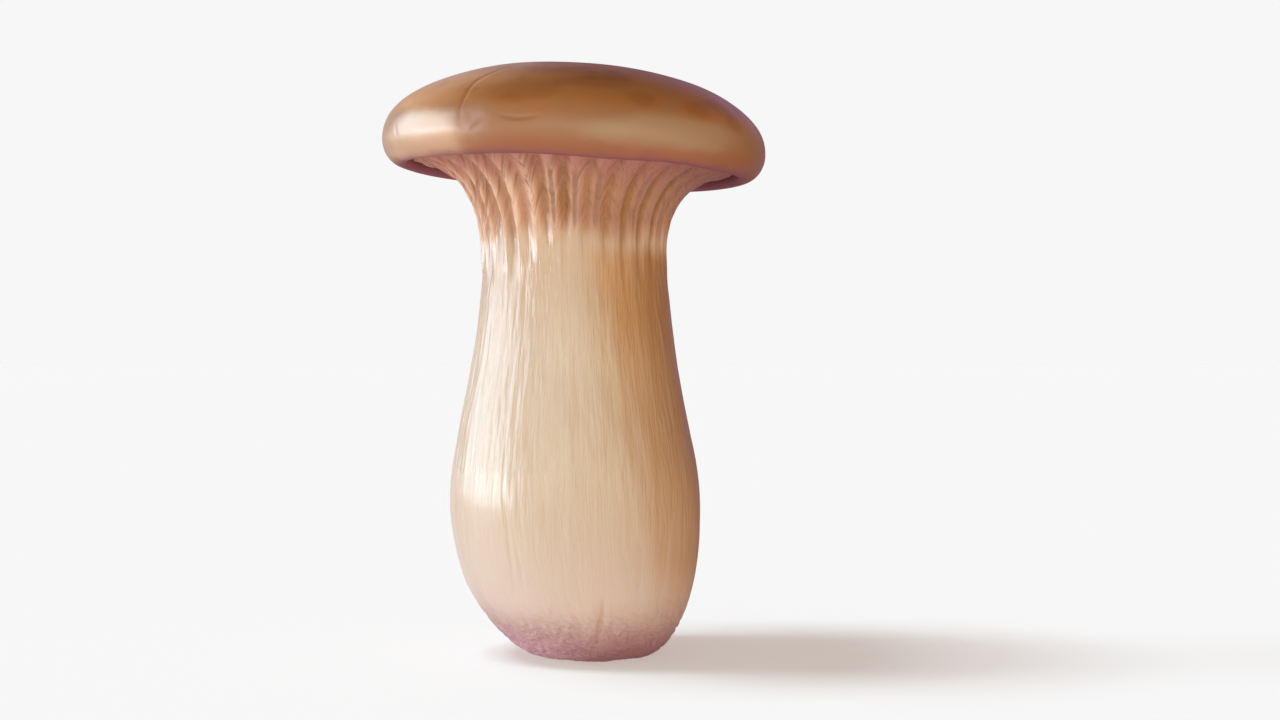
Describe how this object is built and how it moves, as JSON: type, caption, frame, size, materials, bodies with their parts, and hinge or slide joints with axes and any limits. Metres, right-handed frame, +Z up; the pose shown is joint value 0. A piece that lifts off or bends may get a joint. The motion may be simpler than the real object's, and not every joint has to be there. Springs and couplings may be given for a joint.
{
  "type": "king oyster mushroom",
  "caption": "Whole king oyster mushroom standing on its trimmed foot: a plump pale stem flaring into gill ribs under a low domed brown cap with a rolled rim.",
  "frame": {"origin": "on the surface it stands on, under the middle of the cap", "axes": "+Z up from the foot to the cap; +X towards the side that the cap leans down to and the foot grew to"},
  "size_m": [0.0784, 0.0764, 0.12],
  "materials": {
    "cap_skin": "satin tan-brown mushroom cap skin, patchy, with a soft moist sheen",
    "stem_flesh": "cream mushroom flesh with fine lengthwise fibres, pinkish on the gills and at the foot, slightly moist"
  },
  "bodies": {
    "root": {"cap": "cap_skin", "stem": "stem_flesh"}
  },
  "joints": []
}
